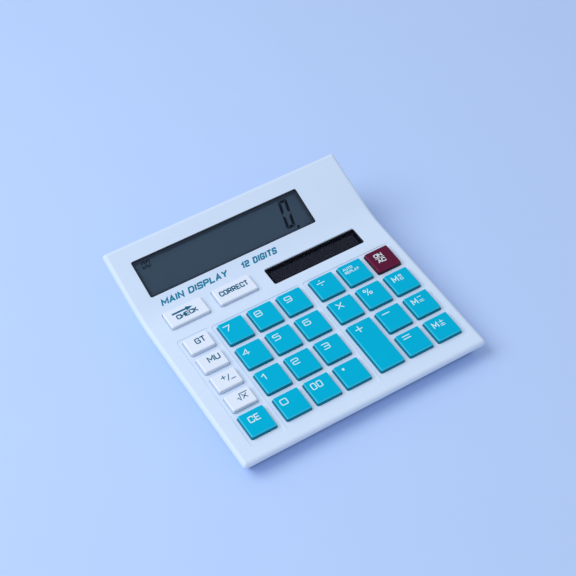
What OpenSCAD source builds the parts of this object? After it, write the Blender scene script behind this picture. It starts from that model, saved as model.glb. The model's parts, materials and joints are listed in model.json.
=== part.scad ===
// Desk calculator: a wedge-shaped case with a raised display section, thirty sprung keys over a
// rubber mat, a liquid crystal panel behind a lens, a solar cell and a battery behind a sliding door.
// Millimetres. +Z is up, +Y points away from the user, the origin is on the table under the case.
// The deck frame lies in the keyboard surface, with y = 0 along the row of 7, 8 and 9.
// The display frame lies in the display surface, with y = 0 along the line where it meets the deck.

/* [Case] */
// Width of the case, left to right
case_w = 146.6; // [144:0.2:156]
// Distance from the last key row to the front edge of the case
front_margin = 18.9; // [18:0.1:24]
// Distance from the first main key row back to the line where the display section starts
bend_back = 30.6; // [30.6:0.1:36]
// Length of the display section, from that line to the back edge
display_run = 44.3; // [43:0.1:52]
// Slope of the keyboard deck, in degrees
deck_tilt = 5; // [4:0.5:7]
// Slope of the display section against the deck, in degrees
display_tilt = 17.5; // [14:0.5:20]
// Radius of the hollow bend between the deck and the display section
bend_r = 60; // [45:1:64]
// Height of the deck above the table at the front edge
front_h = 11; // [10.5:0.1:14]
// Depth of the top case's edge
edge_h = 3.3; // [3.2:0.1:4.5]
// Rounding of the upper rim
rim_r = 2.4; // [1.6:0.1:2.4]
// Rounding of the lower rim
rim_under_r = 0.8; // [0.4:0.1:0.8]
// Thickness of the top case's plate
plate_t = 2; // [1.6:0.1:2.2]
// Thickness of the top case's outer wall
rim_wall = 2.6; // [2.5:0.1:3]
// Radius of the front corners, seen from above
front_corner_r = 2; // [1.5:0.5:5]
// Radius of the back corners, seen from above
back_corner_r = 2; // [1.5:0.5:5]

/* [Base] */
// How far the bottom case starts inside the edge of the top case
base_inset = 1.2; // [1.1:0.1:1.6]
// Thickness of the bottom case's sloping walls
base_wall = 1.8; // [1.6:0.1:2.4]
// Thickness of the floor
floor_t = 1.8; // [1.6:0.1:2]
// Inward lean of the bottom case's walls, in degrees
base_lean = 24; // [20:1:26]
// Height of the rubber feet below the floor
foot_h = 1; // [0.8:0.1:1.5]
// Diameter of a rubber foot
foot_d = 10; // [8:0.5:12]
// Depth of the recess that holds a foot
foot_sink = 0.4; // [0.3:0.1:0.8]
// Distance from the case's side to the middle of a front foot
front_foot_side = 21.3; // [17.3:0.5:33.3]
// Distance from the case's side to the middle of a rear foot
rear_foot_side = 27.3; // [25.3:0.5:30.3]
// Distance from the floor's front or back edge to the middle of a foot
foot_edge = 9.5; // [8:0.5:14]

/* [Keys] */
// Distance from the case's left side to the middle of the first column
keys_left = 18.75; // [18.25:0.05:19]
// Distance from the case's right side to the middle of the last column
keys_right = 15.05; // [14.9:0.05:16]
// Row spacing of the main keys
row_pitch = 18.3; // [17.8:0.1:19]
// Extra space between two blocks of columns
block_gap = 2.4; // [2.2:0.1:3]
// Gap between two main keys of a row, at the deck
key_gap = 3; // [2.4:0.1:4]
// Depth of a main key at the deck, front to back
key_d = 15.1; // [14:0.1:16]
// Height of the main keys above the deck
key_rise = 2.1; // [1.6:0.1:3]
// Slope of a key's sides, as the inset of its top on each side
key_taper = 0.35; // [0.2:0.05:0.9]
// Bevel round the top of a key
key_bevel = 0.6; // [0.2:0.05:0.8]
// Radius of a key's upright corners
key_corner = 1.1; // [0.8:0.1:1.6]
// Thickness of a key's skin
key_skin = 1.1; // [0.8:0.1:1.4]
// How far a key's flange reaches past its hole
key_flange = 0.35; // [0.3:0.05:0.4]
// Thickness of a key's flange
key_flange_t = 0.8; // [0.6:0.1:1]
// Clearance round a key in its hole
key_clear = 0.15; // [0.1:0.05:0.2]
// Diameter of a key's post
key_post_d = 4.2; // [3:0.1:5]
// Length of the post below the flange
key_post_h = 0.6; // [0.5:0.1:1]
// How far a key goes down
key_travel = 1.2; // [0.8:0.1:1.3]
// How much narrower a small white key is than a main key
side_key_less = 0.4; // [0.2:0.1:2.5]
// Depth of a small white key, front to back
side_key_d = 10.8; // [9:0.1:11.4]
// Row spacing of the small white keys
side_pitch = 13.9; // [13.2:0.1:14.2]
// Distance between the last small white key and the main key in front of it
side_key_gap = 2.95; // [2:0.05:3.5]
// Width of the two wide white keys
wide_key_w = 23.3; // [20:0.1:24]
// Depth of the two wide white keys, front to back
wide_key_d = 11.8; // [10:0.1:12]
// Distance of the wide white keys behind the first main row
wide_key_y = 23.5; // [23.4:0.1:24]
// Distance from the case's left side to the middle of the left wide key
check_key_left = 23; // [22.8:0.1:24.3]
// Distance from the case's left side to the middle of the right wide key
correct_key_left = 52.4; // [50.3:0.1:53.3]
// Depth of the wells that the key blocks stand in
well_depth = 0.3; // [0.2:0.1:0.6]
// Distance from the keys to the edges of their well
well_margin = 2; // [0.8:0.05:2.1]
// Distance from the last row of keys to the front edge of their well
well_front = 3.6; // [2:0.1:4]
// Corner radius of a well
well_r = 1.6; // [1:0.1:2.5]

/* [Display] */
// Distance from the case's left side to the display lens
lens_left = 11.5; // [11:0.1:16]
// Distance from the case's right side to the display lens
lens_right = 31.7; // [31:0.1:36]
// Depth of the display lens, front to back
lens_d = 22.9; // [20:0.1:23.4]
// Distance from the bend line to the front edge of the lens
lens_front = 10.5; // [10.5:0.1:11.2]
// Thickness of both lenses
lens_t = 1; // [0.8:0.1:1.1]
// How far both lenses lie below the surface
lens_sink = 0.5; // [0.3:0.1:0.6]
// Width of the ledge that a lens rests on
lens_ledge = 1.2; // [0.8:0.1:1.6]
// Corner radius of both lenses
lens_r = 1; // [0.6:0.1:1.6]
// How far the liquid crystal panel reaches past the lens
panel_over = 1.4; // [1.2:0.1:1.6]
// Thickness of the liquid crystal panel
panel_t = 2.2; // [1.8:0.1:2.4]
// Height of the space between panel and display board
strip_h = 1.5; // [1.3:0.1:1.8]
// Width of the rubber contact strip
strip_w = 2; // [1.6:0.1:2.2]

/* [Solar cell] */
// Distance from the case's left side to the solar window
solar_left = 73.35; // [73.35:0.05:78]
// Distance from the case's right side to the solar window
solar_right = 15.75; // [15:0.05:20]
// Depth of the solar window, front to back
solar_d = 11.5; // [10:0.1:12]
// Distance of the solar window's middle behind the first main row
solar_y = 22.2; // [22:0.1:22.6]
// How far the cell reaches past its window
cell_over = 1.2; // [0.8:0.1:1.3]
// Thickness of the cell
cell_t = 1.1; // [0.8:0.1:1.4]

/* [Boards] */
// Thickness of both circuit boards
board_t = 1.2; // [1:0.1:1.4]
// Thickness of the rubber mat between its domes
mat_t = 0.7; // [0.5:0.1:0.8]
// Height of a dome above the mat
dome_h = 1.8; // [1.7:0.1:2]
// Diameter of a dome at its foot
dome_d = 7.6; // [6:0.1:9]
// Thickness of a dome's skin
dome_skin = 0.6; // [0.4:0.1:0.8]
// Distance from the case's side to the main board
board_side = 5.8; // [5.4:0.1:6.4]
// Distance from the case's side to the outer board posts
post_side = 9; // [8.8:0.1:10]
// Distance from the last key row to the row of board posts behind it
post_row_gap = 3.9; // [3.8:0.1:4.2]
// How far the main board reaches in front of the keys' middles in the first row
board_overhang = 7.2; // [6:0.1:7.4]
// How far the main board reaches behind the bend line
board_past_bend = 2; // [1:0.1:2.5]
// Diameter of the posts that carry the boards
post_d = 3.4; // [3:0.1:3.5]
// Thread diameter of the board screws
board_screw_d = 1.7; // [1.4:0.1:1.8]
// Diameter of the blob over the chip
chip_d = 14; // [10:0.5:18]
// Height of the blob over the chip
chip_h = 1.8; // [1.2:0.1:2.4]
// Diameter of the capacitor
capacitor_d = 5; // [4:0.5:6.5]
// Length of the capacitor
capacitor_h = 7; // [5:0.5:8]
// Width of the ribbon between the boards
ribbon_w = 34; // [20:1:50]
// Thickness of the ribbon
ribbon_t = 0.2; // [0.2:0.05:0.4]
// Diameter of the leads
lead_d = 1; // [0.8:0.1:1.2]

/* [Battery] */
// Diameter of the battery cell
cell_d = 10.5; // [10.3:0.1:10.8]
// Length of the battery cell without its nub
cell_l = 43.5; // [43:0.1:44]
// Distance from the cell to the end wall that carries its spring
spring_reach = 5.1; // [4.6:0.1:8]
// Thickness of the bay's walls
bay_wall = 1.2; // [1:0.1:1.6]
// Distance from the floor's back edge to the middle of the bay
bay_edge = 19.5; // [18:0.5:22]
// Width of the battery door
door_w = 64; // [60:0.5:68]
// Thickness of the battery door
door_t = 1.5; // [1.3:0.1:1.6]
// Length of the door's overlap in front of the bay
door_front = 4; // [3:0.5:6]
// Width of the tongue along each side of the door
tongue_w = 1.2; // [0.8:0.1:1.6]
// How far the door slides back
door_travel = 20; // [10:0.5:24]

/* [Case screws] */
// Thread diameter of the case screws
screw_d = 2.6; // [2.2:0.1:2.8]
// Diameter of a case screw's head
head_d = 4.6; // [4.2:0.1:4.8]
// Height of a case screw's head
head_h = 1.6; // [1.2:0.1:1.8]
// Diameter of the bosses under the top case
boss_d = 4.8; // [4.4:0.1:4.9]
// Diameter of the pillars on the floor
pillar_d = 7; // [6.6:0.1:7.4]
// Height above the table where the front bosses meet their pillars
front_split = 5.6; // [5.4:0.1:6]
// Height above the table where the middle bosses meet their pillars
middle_split = 12; // [10:0.5:14]
// Distance from the case's side to the front screws
front_screw_side = 8.8; // [8:0.1:10]
// Distance from the case's front edge to the front screws
front_screw_edge = 8.2; // [8:0.1:8.4]
// Distance from the case's side to the middle screws
middle_screw_side = 17.3; // [16.3:0.5:22.3]
// Distance of the middle screws behind the bend line
middle_screw_back = 5.7; // [5.4:0.1:7]

/* [Hidden] */
$fn = 64;
cut = 1;                 // how far a cutter runs past the face that it opens
lap = 0.2;               // how far two shapes of one solid run into each other
screw_clear = 0.05;      // round a thread in its bore
hole_clear = 0.15;       // round a screw that passes through a board
past = 0.4;              // how much deeper a bore is than its screw
slip = 0.1;              // above and below a sliding tongue
fit = 0.2;               // round a piece that is laid in a recess
seat = 0.3;              // between a rib and the board over it
ribbon_grip = 4;         // how far the ribbon runs under each board
seam_lap = 0.8;          // how far the display section runs into the bend
seam_grow = 0.03;        // and how much larger it is all round, so that it covers the bend's end
joint_gap = 0.1;         // between the edges of the two cases

case_colour = "whitesmoke";
teal = [0.10, 0.66, 0.80];
maroon = [0.42, 0.08, 0.20];
ivory = [0.95, 0.95, 0.97];

// Key grid, in the deck frame
blocks_after = [0, 3];   // columns that a block gap follows
columns = 7;
col_pitch = (case_w - keys_left - keys_right - 2 * block_gap) / (columns - 1);
key_w = col_pitch - key_gap;
side_key_w = key_w - side_key_less;
check_key_x = check_key_left - case_w / 2;
correct_key_x = correct_key_left - case_w / 2;
function col_x(i) = keys_left - case_w / 2 + i * col_pitch
    + (i > blocks_after[0] ? block_gap : 0) + (i > blocks_after[1] ? block_gap : 0);
function row_y(j) = -j * row_pitch;
last_row = 3;
last_side = 3;
front_y = row_y(last_row) - front_margin;
function side_y(i) = row_y(last_row) + key_d / 2 + side_key_gap + side_key_d / 2
    + (last_side - i) * side_pitch;

// A key is [name, x, y, width, depth, colour]
function main_key(name, i, j, colour = teal) = [name, col_x(i), row_y(j), key_w, key_d, colour];
KEYS = [
    main_key("key_7", 1, 0), main_key("key_8", 2, 0), main_key("key_9", 3, 0),
    main_key("key_4", 1, 1), main_key("key_5", 2, 1), main_key("key_6", 3, 1),
    main_key("key_1", 1, 2), main_key("key_2", 2, 2), main_key("key_3", 3, 2),
    main_key("key_0", 1, 3), main_key("key_00", 2, 3), main_key("key_decimal", 3, 3),
    main_key("key_divide", 4, 0), main_key("key_multiply", 4, 1),
    main_key("key_auto_replay", 5, 0), main_key("key_percent", 5, 1),
    main_key("key_minus", 5, 2), main_key("key_equals", 5, 3),
    main_key("key_on_clear", 6, 0, maroon), main_key("key_memory_recall", 6, 1),
    main_key("key_memory_minus", 6, 2), main_key("key_memory_plus", 6, 3),
    main_key("key_clear_entry", 0, 3),
    ["key_plus", col_x(4), (row_y(2) + row_y(3)) / 2, key_w, key_d + row_pitch, teal],
    ["key_grand_total", col_x(0), side_y(0), side_key_w, side_key_d, ivory],
    ["key_mark_up", col_x(0), side_y(1), side_key_w, side_key_d, ivory],
    ["key_sign", col_x(0), side_y(2), side_key_w, side_key_d, ivory],
    ["key_square_root", col_x(0), side_y(3), side_key_w, side_key_d, ivory],
    ["key_check", check_key_x, wide_key_y, wide_key_w, wide_key_d, ivory],
    ["key_correct", correct_key_x, wide_key_y, wide_key_w, wide_key_d, ivory],
];
// A key longer than this one way or the other stands on two domes
two_domes_from = 20;
function dome_places(k) =
    k[4] > two_domes_from ? [for (s = [-1, 1]) [k[1], k[2] + s * k[4] / 4]]
    : k[3] > two_domes_from ? [for (s = [-1, 1]) [k[1] + s * k[3] / 4, k[2]]]
    : [[k[1], k[2]]];

// Levels under the deck, in the deck frame
flange_z = -plate_t - key_flange_t;
post_z = flange_z - key_post_h;
mat_z = post_z - dome_h;
board_z = mat_z - mat_t;
board_under = board_z - board_t;

// Places in the side view. Each function turns [y, z] of a frame into [y, z] of the next one out.
function turned(p, a) = [p[0] * cos(a) - p[1] * sin(a), p[0] * sin(a) + p[1] * cos(a)];
function display_to_deck(p) = [bend_back, 0] + turned(p, display_tilt);
arc_y = bend_back - bend_r * tan(display_tilt / 2);      // where the bend starts
arc_v = bend_r * tan(display_tilt / 2);                  // where it ends, in the display frame
function surface_z(y) = y < arc_y ? 0 : bend_r - sqrt(bend_r * bend_r - pow(y - arc_y, 2));
deck_z0 = front_h - front_y * sin(deck_tilt);
front_reach = turned([front_y + rim_r, -rim_r], deck_tilt)[0] - rim_r;
back_reach = turned(display_to_deck([display_run - rim_under_r, rim_under_r - edge_h]),
                    deck_tilt)[0] + rim_under_r;
deck_y0 = -(front_reach + back_reach) / 2;
function to_row(p) = [deck_y0, deck_z0] + turned(p, deck_tilt);

// The floor's front and back edges, where the leaning walls meet it
full_tilt = deck_tilt + display_tilt;
lean = tan(base_lean);
base_z = -edge_h - joint_gap;        // level of the bottom case's edge
base_front = to_row([front_y + base_inset, base_z]);
base_back = to_row(display_to_deck([display_run - base_inset, base_z]));
front_slope = (lean * cos(deck_tilt) + sin(deck_tilt)) / (cos(deck_tilt) - lean * sin(deck_tilt));
back_slope = (sin(full_tilt) - lean * cos(full_tilt)) / (lean * sin(full_tilt) + cos(full_tilt));
floor_front = base_front[0] + (base_front[1] - foot_h) * front_slope;
floor_back = base_back[0] + (base_back[1] - foot_h) * back_slope;
floor_top = foot_h + floor_t;
below = 45;              // how far sections are drawn below the deck
above = 20;              // and above it

// Screws: [x, y in the deck frame, height of the joint between boss and pillar]
CASE_SCREWS = [
    for (s = [-1, 1]) [s * (case_w / 2 - front_screw_side), front_y + front_screw_edge, front_split],
    for (s = [-1, 1]) [s * (case_w / 2 - middle_screw_side), bend_back + middle_screw_back, middle_split]
];
screw_bite = 3.6;        // how far a case screw goes into its boss
counter_h = 0.8;         // floor of a screw's counterbore, above the floor's underside
gap_x = [(col_x(0) + col_x(1)) / 2, (col_x(3) + col_x(4)) / 2];
post_row = row_y(0) + key_d / 2 + post_row_gap;
BOARD_POSTS = [
    for (x = gap_x, j = [0.5, 2.5]) [x, row_y(j)],
    for (x = [post_side - case_w / 2, col_x(2) - col_pitch / 2, gap_x[1], case_w / 2 - post_side])
        [x, post_row]
];
board_front = row_y(last_row) - board_overhang;
board_back = bend_back + board_past_bend;
mat_edge = 0.6;          // from the board's edge to the mat's
mat_step = 3;            // from the right wide key to the step in the mat's back edge
board_head_d = 3;
board_head_h = 0.8;
board_bite = 3;          // how far a board screw goes into its post

// Display stack, in the display frame
panel_back = -plate_t - panel_t;
display_board_z = panel_back - strip_h;
display_board_under = display_board_z - board_t;
lens_w = case_w - lens_left - lens_right;
lens_x = (lens_left - lens_right) / 2;
lens_y = lens_front + lens_d / 2;
solar_w = case_w - solar_left - solar_right;
solar_x = (solar_left - solar_right) / 2;
panel_w = lens_w + 2 * panel_over;
panel_d = lens_d + 2 * panel_over;
panel_r = 0.5;           // corners of the panel and of the solar cell
holder_wall = 1;
holder_w = panel_w + 2 * (fit + holder_wall);
holder_d = panel_d + 2 * (fit + holder_wall);
holder_grip = 4;         // how far the holder reaches under the panel
strip_edge = 0.6;        // from the panel's front edge to the contact strip
strip_end = 3;           // from the panel's sides to the ends of the strip
display_post_x = holder_w / 2 + post_d / 2 + seat;
display_post_y = 9;
DISPLAY_POSTS = [for (x = [-1, 1], y = [-1, 1])
    [lens_x + x * display_post_x, lens_y + y * display_post_y]];

// Battery bay, in the row frame
cell_gap = 0.3;          // round the cell in its bay
bay_y = floor_back - bay_edge;
bay_d = cell_d + 2 * cell_gap;
bay_front = bay_y - bay_d / 2;
door_gap = 0.15;         // between the door and the floor over it
bay_floor = foot_h + door_t + door_gap;
pad_top = bay_floor + 1.2;
pad_front = 2;           // how far the thick floor reaches in front of the door
cell_z = bay_floor + cell_gap + cell_d / 2;
bay_roof = cell_z + cell_d / 2 + cell_gap;
door_y = bay_front - door_front;
tongue_t = 0.7;
tongue_z = foot_h + 0.55;
groove_d = 0.4;          // depth of the door's thumb grooves
groove_l = 16;
groove_step = 1.6;
groove_back = 11;        // from the floor's back edge to the first groove
groove_y = floor_back - groove_back;
contact_t = 0.4;
contact_w = 7;
leaf_bow = 3;            // how far the spring's leaf reaches up and down
leaf_tip = 0.6;          // half the height of the flat that meets the cell
tab_h = 0.8;             // solder tabs, and the slots that they pass through
tab_reach = 1;
tab_drop = 2.4;          // from the bay's roof to a tab
tab_z = bay_roof - tab_drop;
slot_w = 2;
nub_d = 3.8;
nub_l = 1;
bay_l = contact_t + nub_l + cell_l + spring_reach;
lead_step = 3;           // between the two leads of the solar cell
lead_edge = 4;           // from the end of the solar window to the first of them
rib_side = 15;           // from the case's side to the end of a board rib

// ---- Frames and shared shapes ----

module on_deck() { translate([0, deck_y0, deck_z0]) rotate([deck_tilt, 0, 0]) children(); }

module on_display() {
    on_deck() translate([0, bend_back, 0]) rotate([display_tilt, 0, 0]) children();
}

// A rectangle with round corners, centred
module round_rect(w, d, r) {
    square([w - 2 * r, d], center = true);
    square([w, d - 2 * r], center = true);
    for (x = [-1, 1], y = [-1, 1]) translate([x * (w / 2 - r), y * (d / 2 - r)]) circle(r);
}

// A plate with round corners, from z0 up to z1
module plate(w, d, r, z0, z1) {
    translate([0, 0, z0]) linear_extrude(z1 - z0) round_rect(w, d, r);
}

// A shape of the front view, carried along the deck, round the bend and up the display section.
// The shape reads $grow, by which it is larger all round.
module along_case() {
    $grow = 0;
    translate([0, arc_y, 0]) rotate([90, 0, 0]) linear_extrude(arc_y - front_y + cut) children();
    translate([0, arc_y, bend_r]) rotate([0, 90, 0]) rotate_extrude(angle = display_tilt)
        translate([bend_r, 0]) rotate(90) children();
    translate([0, bend_back, 0]) rotate([display_tilt, 0, 0]) translate([0, display_run + cut, 0])
        rotate([90, 0, 0]) linear_extrude(display_run + cut - arc_v + seam_lap) grown() children();
}

module grown() {
    $grow = seam_grow;
    children();
}

// A shape of the side view, drawn in [y, z] and carried across the case
module across_case() {
    rotate([90, 0, 90]) translate([0, 0, -case_w / 2 - cut]) linear_extrude(case_w + 2 * cut)
        children();
}

// A thread with a flat head and a cross slot, head downwards, its head's upper face at z = 0
module screw(d, l, hd, hh) {
    slot = [hd * 0.6, hd * 0.16, hh];
    cylinder(d = d, h = l);
    difference() {
        translate([0, 0, -hh]) cylinder(d = hd, h = hh);
        for (a = [0, 90]) rotate(a) translate([-slot[0] / 2, -slot[1] / 2, -hh - slot[2] / 2])
            cube(slot);
    }
}

// A lead through a list of points
module lead(points) {
    for (i = [0 : len(points) - 2]) {
        step = points[i + 1] - points[i];
        flat = norm([step[0], step[1]]);
        translate(points[i]) rotate([0, atan2(flat, step[2]), atan2(step[1], step[0])])
            cylinder(d = lead_d, h = norm(step));
        if (i > 0) translate(points[i]) sphere(d = lead_d + slip);
    }
}

// ---- Top case ----

// One rounded edge of height h, growing towards +x from its outermost point at x = 0
module slab_edge(h) {
    intersection() {
        union() {
            translate([rim_r, -rim_r]) circle(rim_r);
            translate([rim_under_r, rim_under_r - h]) circle(rim_under_r);
            translate([0, rim_under_r - h]) square([rim_r, h - rim_under_r - rim_r]);
            translate([rim_under_r, -h]) square([rim_r, h - rim_r]);
        }
        translate([0, -h]) square([2 * rim_r, h]);
    }
}

// Front view of the slab that the top case is cut from
module slab_section() {
    half = case_w / 2 + $grow;
    h = edge_h + 2 * $grow;
    translate([rim_r - half, $grow - h]) square([2 * (half - rim_r), h]);
    for (s = [0, 1]) mirror([s, 0]) translate([-half, $grow]) slab_edge(h);
}

module slab_side_view() {
    polygon([[front_y + rim_r, -above], [front_y + rim_r, above],
             display_to_deck([display_run - rim_r, above]),
             display_to_deck([display_run - rim_r, -above])]);
    translate([front_y, 0]) slab_edge(edge_h);
    translate([bend_back, 0]) rotate(display_tilt) translate([display_run, 0]) mirror([1, 0])
        slab_edge(edge_h);
}

// What rounding one upright corner takes away, with the corner at the origin and the case at -x, -y
module corner_cut(r) {
    translate([-r, -r, -above]) difference() {
        cube([r + cut, r + cut, 2 * above]);
        translate([0, 0, -cut]) cylinder(r = r, h = 2 * above + 2 * cut);
    }
}

module slab() {
    difference() {
        intersection() {
            along_case() slab_section();
            across_case() slab_side_view();
        }
        for (s = [0, 1]) mirror([s, 0, 0]) {
            translate([case_w / 2, front_y, 0]) mirror([0, 1, 0]) corner_cut(front_corner_r);
            translate([0, bend_back, 0]) rotate([display_tilt, 0, 0])
                translate([case_w / 2, display_run, 0]) corner_cut(back_corner_r);
        }
    }
}

// The hollow under the plate
module slab_hollow() {
    inner_w = case_w - 2 * rim_wall;
    front = front_y + rim_wall;
    back = display_run - rim_wall;
    crease = plate_t * tan(display_tilt / 2);
    rotate([90, 0, 90]) translate([0, 0, -inner_w / 2]) linear_extrude(inner_w)
        polygon([[front, -below], [front, -plate_t], [bend_back + crease, -plate_t],
                 display_to_deck([back, -plate_t]), display_to_deck([back, -below])]);
}

function well(i, n, back) = [col_x(i) - key_w / 2 - well_margin,
    row_y(last_row) - key_d / 2 - well_front,
    col_x(i + n - 1) + key_w / 2 + well_margin, back + well_margin];
WELLS = [
    well(0, 1, side_y(0) + side_key_d / 2), well(1, 3, row_y(0) + key_d / 2),
    well(4, 3, row_y(0) + key_d / 2)
];

module well_cut(w) {
    translate([(w[0] + w[2]) / 2, (w[1] + w[3]) / 2, 0])
        plate(w[2] - w[0], w[3] - w[1], well_r, -well_depth, cut);
}

module key_hole(k) {
    translate([k[1], k[2], 0])
        plate(k[3] + 2 * key_clear, k[4] + 2 * key_clear, key_corner, -plate_t - cut, 2 * cut);
}

// A recess for a lens and the opening under its ledge
module lens_cut(w, d) {
    plate(w, d, lens_r, -lens_sink - lens_t, 2 * cut);
    plate(w - 2 * lens_ledge, d - 2 * lens_ledge, lens_r, -plate_t - cut, lap - lens_sink - lens_t);
}

// A post from the level z up into the plate, and the bore for its screw
module hanging_post(p, z) {
    translate([p[0], p[1], z]) cylinder(d = post_d, h = -z - plate_t / 2);
}

module post_bore(p, z) {
    translate([p[0], p[1], z - cut])
        cylinder(d = board_screw_d + 2 * screw_clear, h = cut + board_bite + past);
}

function boss_place(s) = [s[0], to_row([s[1], surface_z(s[1])])[0], s[2]];
function boss_top(s) = to_row([s[1], surface_z(s[1])])[1] - plate_t / 2;

module top_case() {
    color(case_colour) difference() {
        union() {
            on_deck() difference() { slab(); slab_hollow(); }
            on_deck() for (p = BOARD_POSTS) hanging_post(p, board_z);
            on_display() for (p = DISPLAY_POSTS) hanging_post(p, display_board_z);
            for (s = CASE_SCREWS) translate(boss_place(s))
                cylinder(d = boss_d, h = boss_top(s) - s[2]);
        }
        on_deck() {
            for (w = WELLS) well_cut(w);
            for (k = KEYS) key_hole(k);
            for (p = BOARD_POSTS) post_bore(p, board_z);
            translate([solar_x, solar_y, 0]) lens_cut(solar_w, solar_d);
        }
        on_display() {
            translate([lens_x, lens_y, 0]) lens_cut(lens_w, lens_d);
            for (p = DISPLAY_POSTS) post_bore(p, display_board_z);
        }
        for (s = CASE_SCREWS) translate(boss_place(s) - [0, 0, cut])
            cylinder(d = screw_d + 2 * screw_clear, h = cut + screw_bite + past);
    }
}

// ---- Bottom case ----

// Front view of the leaning walls, with their faces moved in by t
module base_section(t, top) {
    half = case_w / 2 - base_inset - t / cos(base_lean) + $grow;
    polygon([[-half, top + $grow], [half, top + $grow], [half, base_z],
             [half - below * lean, base_z - below], [below * lean - half, base_z - below],
             [-half, base_z]]);
}

// Side view of the leaning front and back walls, with their faces moved in by t
module base_side_view(t) {
    step = base_inset + t / cos(base_lean);
    polygon([[front_y + step, above], [front_y + step, base_z],
             [front_y + step + below * lean, base_z - below],
             display_to_deck([display_run - step - below * lean, base_z - below]),
             display_to_deck([display_run - step, base_z]),
             display_to_deck([display_run - step, above])]);
}

module base_block(t, top, z0) {
    intersection() {
        on_deck() intersection() {
            along_case() base_section(t, top);
            across_case() base_side_view(t);
        }
        translate([-case_w, -case_w, z0]) cube([2 * case_w, 2 * case_w, 2 * below]);
    }
}

module battery_bay() {
    w = bay_l + 2 * bay_wall;
    d = bay_d + 2 * bay_wall;
    pad_w = door_w + 4 * tongue_w;
    translate([-pad_w / 2, door_y - pad_front, floor_top - lap])
        cube([pad_w, floor_back - door_y + pad_front, pad_top - floor_top + lap]);
    translate([-w / 2, bay_y - d / 2, floor_top - lap])
        cube([w, d, bay_roof + bay_wall - floor_top + lap]);
}

module battery_bay_cut() {
    translate([-bay_l / 2, bay_y - bay_d / 2, bay_floor - lap])
        cube([bay_l, bay_d, bay_roof - bay_floor + lap]);
    translate([-door_w / 2, door_y, foot_h - cut]) cube([door_w, below, bay_floor - foot_h + cut]);
    translate([-door_w / 2 - tongue_w - door_gap, door_y, tongue_z - slip])
        cube([door_w + 2 * (tongue_w + door_gap), below, tongue_t + 2 * slip]);
    for (s = [0, 1]) mirror([s, 0, 0])
        translate([bay_l / 2 - slot_w, bay_front - bay_wall - cut, tab_z - (slot_w - tab_h) / 2])
            cube([slot_w, bay_wall + 2 * cut, slot_w]);
}

// A cross rib that backs up the main board
module board_rib(y) {
    w = case_w - 2 * rib_side;
    intersection() {
        on_deck() translate([-w / 2, y - bay_wall / 2, -below])
            cube([w, bay_wall, below + board_under - seat]);
        translate([-w / 2, -case_w, floor_top - lap]) cube([w, 2 * case_w, below]);
    }
}

foot_places = [
    for (s = [-1, 1]) [s * (case_w / 2 - front_foot_side), floor_front + foot_edge],
    for (s = [-1, 1]) [s * (case_w / 2 - rear_foot_side), floor_back - foot_edge]
];

module bottom_case() {
    color(case_colour) difference() {
        union() {
            difference() {
                base_block(0, base_z, foot_h);
                base_block(base_wall, base_z + cut, floor_top);
            }
            intersection() {
                union() {
                    for (s = CASE_SCREWS) translate([s[0], boss_place(s)[1], foot_h])
                        cylinder(d = pillar_d, h = s[2] - foot_h);
                    battery_bay();
                }
                base_block(lap, base_z, foot_h);
            }
            for (j = [1, 2]) board_rib(row_y(j));
        }
        battery_bay_cut();
        for (s = CASE_SCREWS) translate([s[0], boss_place(s)[1], 0]) {
            cylinder(d = screw_d + 2 * fit, h = s[2] + cut);
            cylinder(d = head_d + 2 * fit, h = foot_h + counter_h + head_h);
        }
        for (f = foot_places) translate([f[0], f[1], 0])
            cylinder(d = foot_d + fit, h = foot_h + foot_sink);
    }
}

module rubber_feet() {
    color("dimgray") for (f = foot_places) translate([f[0], f[1], 0])
        cylinder(d = foot_d, h = foot_h + foot_sink);
}

module case_screws() {
    color("silver") for (s = CASE_SCREWS)
        translate([s[0], boss_place(s)[1], foot_h + counter_h + head_h])
            screw(screw_d, s[2] + screw_bite - foot_h - counter_h - head_h, head_d, head_h);
}

// ---- Display ----

module display_window() {
    color([0.30, 0.36, 0.42, 0.5]) on_display() translate([lens_x, lens_y, 0])
        plate(lens_w - fit, lens_d - fit, lens_r - fit / 2, -lens_sink - lens_t, -lens_sink);
}

module display_panel() {
    color([0.33, 0.39, 0.45]) on_display() translate([lens_x, lens_y, 0])
        plate(panel_w, panel_d, panel_r, panel_back, -plate_t);
}

// The bar from the board up to the panel, with its faces moved out by t
module strip_bar(t, z0, z1) {
    w = panel_w - 2 * strip_end;
    translate([-w / 2 - t, strip_edge - panel_d / 2 - t, z0])
        cube([w + 2 * t, strip_w + 2 * t, z1 - z0]);
}

module display_holder() {
    color("white") on_display() translate([lens_x, lens_y, 0]) difference() {
        plate(holder_w, holder_d, lens_r, display_board_z, -plate_t);
        plate(panel_w + 2 * fit, panel_d + 2 * fit, panel_r, panel_back, 0);
        plate(panel_w - 2 * holder_grip, panel_d - 2 * holder_grip, lens_r, display_board_z - cut, 0);
        strip_bar(fit, display_board_z - cut, 0);
    }
}

module contact_strip() {
    color("dimgray") on_display() translate([lens_x, lens_y, 0])
        strip_bar(0, display_board_z, panel_back);
}

module display_board() {
    color("darkgreen") on_display() difference() {
        translate([lens_x, lens_y, 0])
            plate(2 * display_post_x + post_d, panel_d, lens_r, display_board_under, display_board_z);
        for (p = DISPLAY_POSTS) screw_hole(p, display_board_under);
    }
}

// The hole in a board whose underside lies at the level z
module screw_hole(p, z) {
    translate([p[0], p[1], z - cut])
        cylinder(d = board_screw_d + 2 * hole_clear, h = board_t + 2 * cut);
}

// A screw that holds a board whose underside lies at the level z
module board_screw(p, z) {
    translate([p[0], p[1], z]) screw(board_screw_d, board_t + board_bite, board_head_d, board_head_h);
}

module display_screws() {
    color("silver") on_display() for (p = DISPLAY_POSTS) board_screw(p, display_board_under);
}

// ---- Solar cell ----

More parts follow.
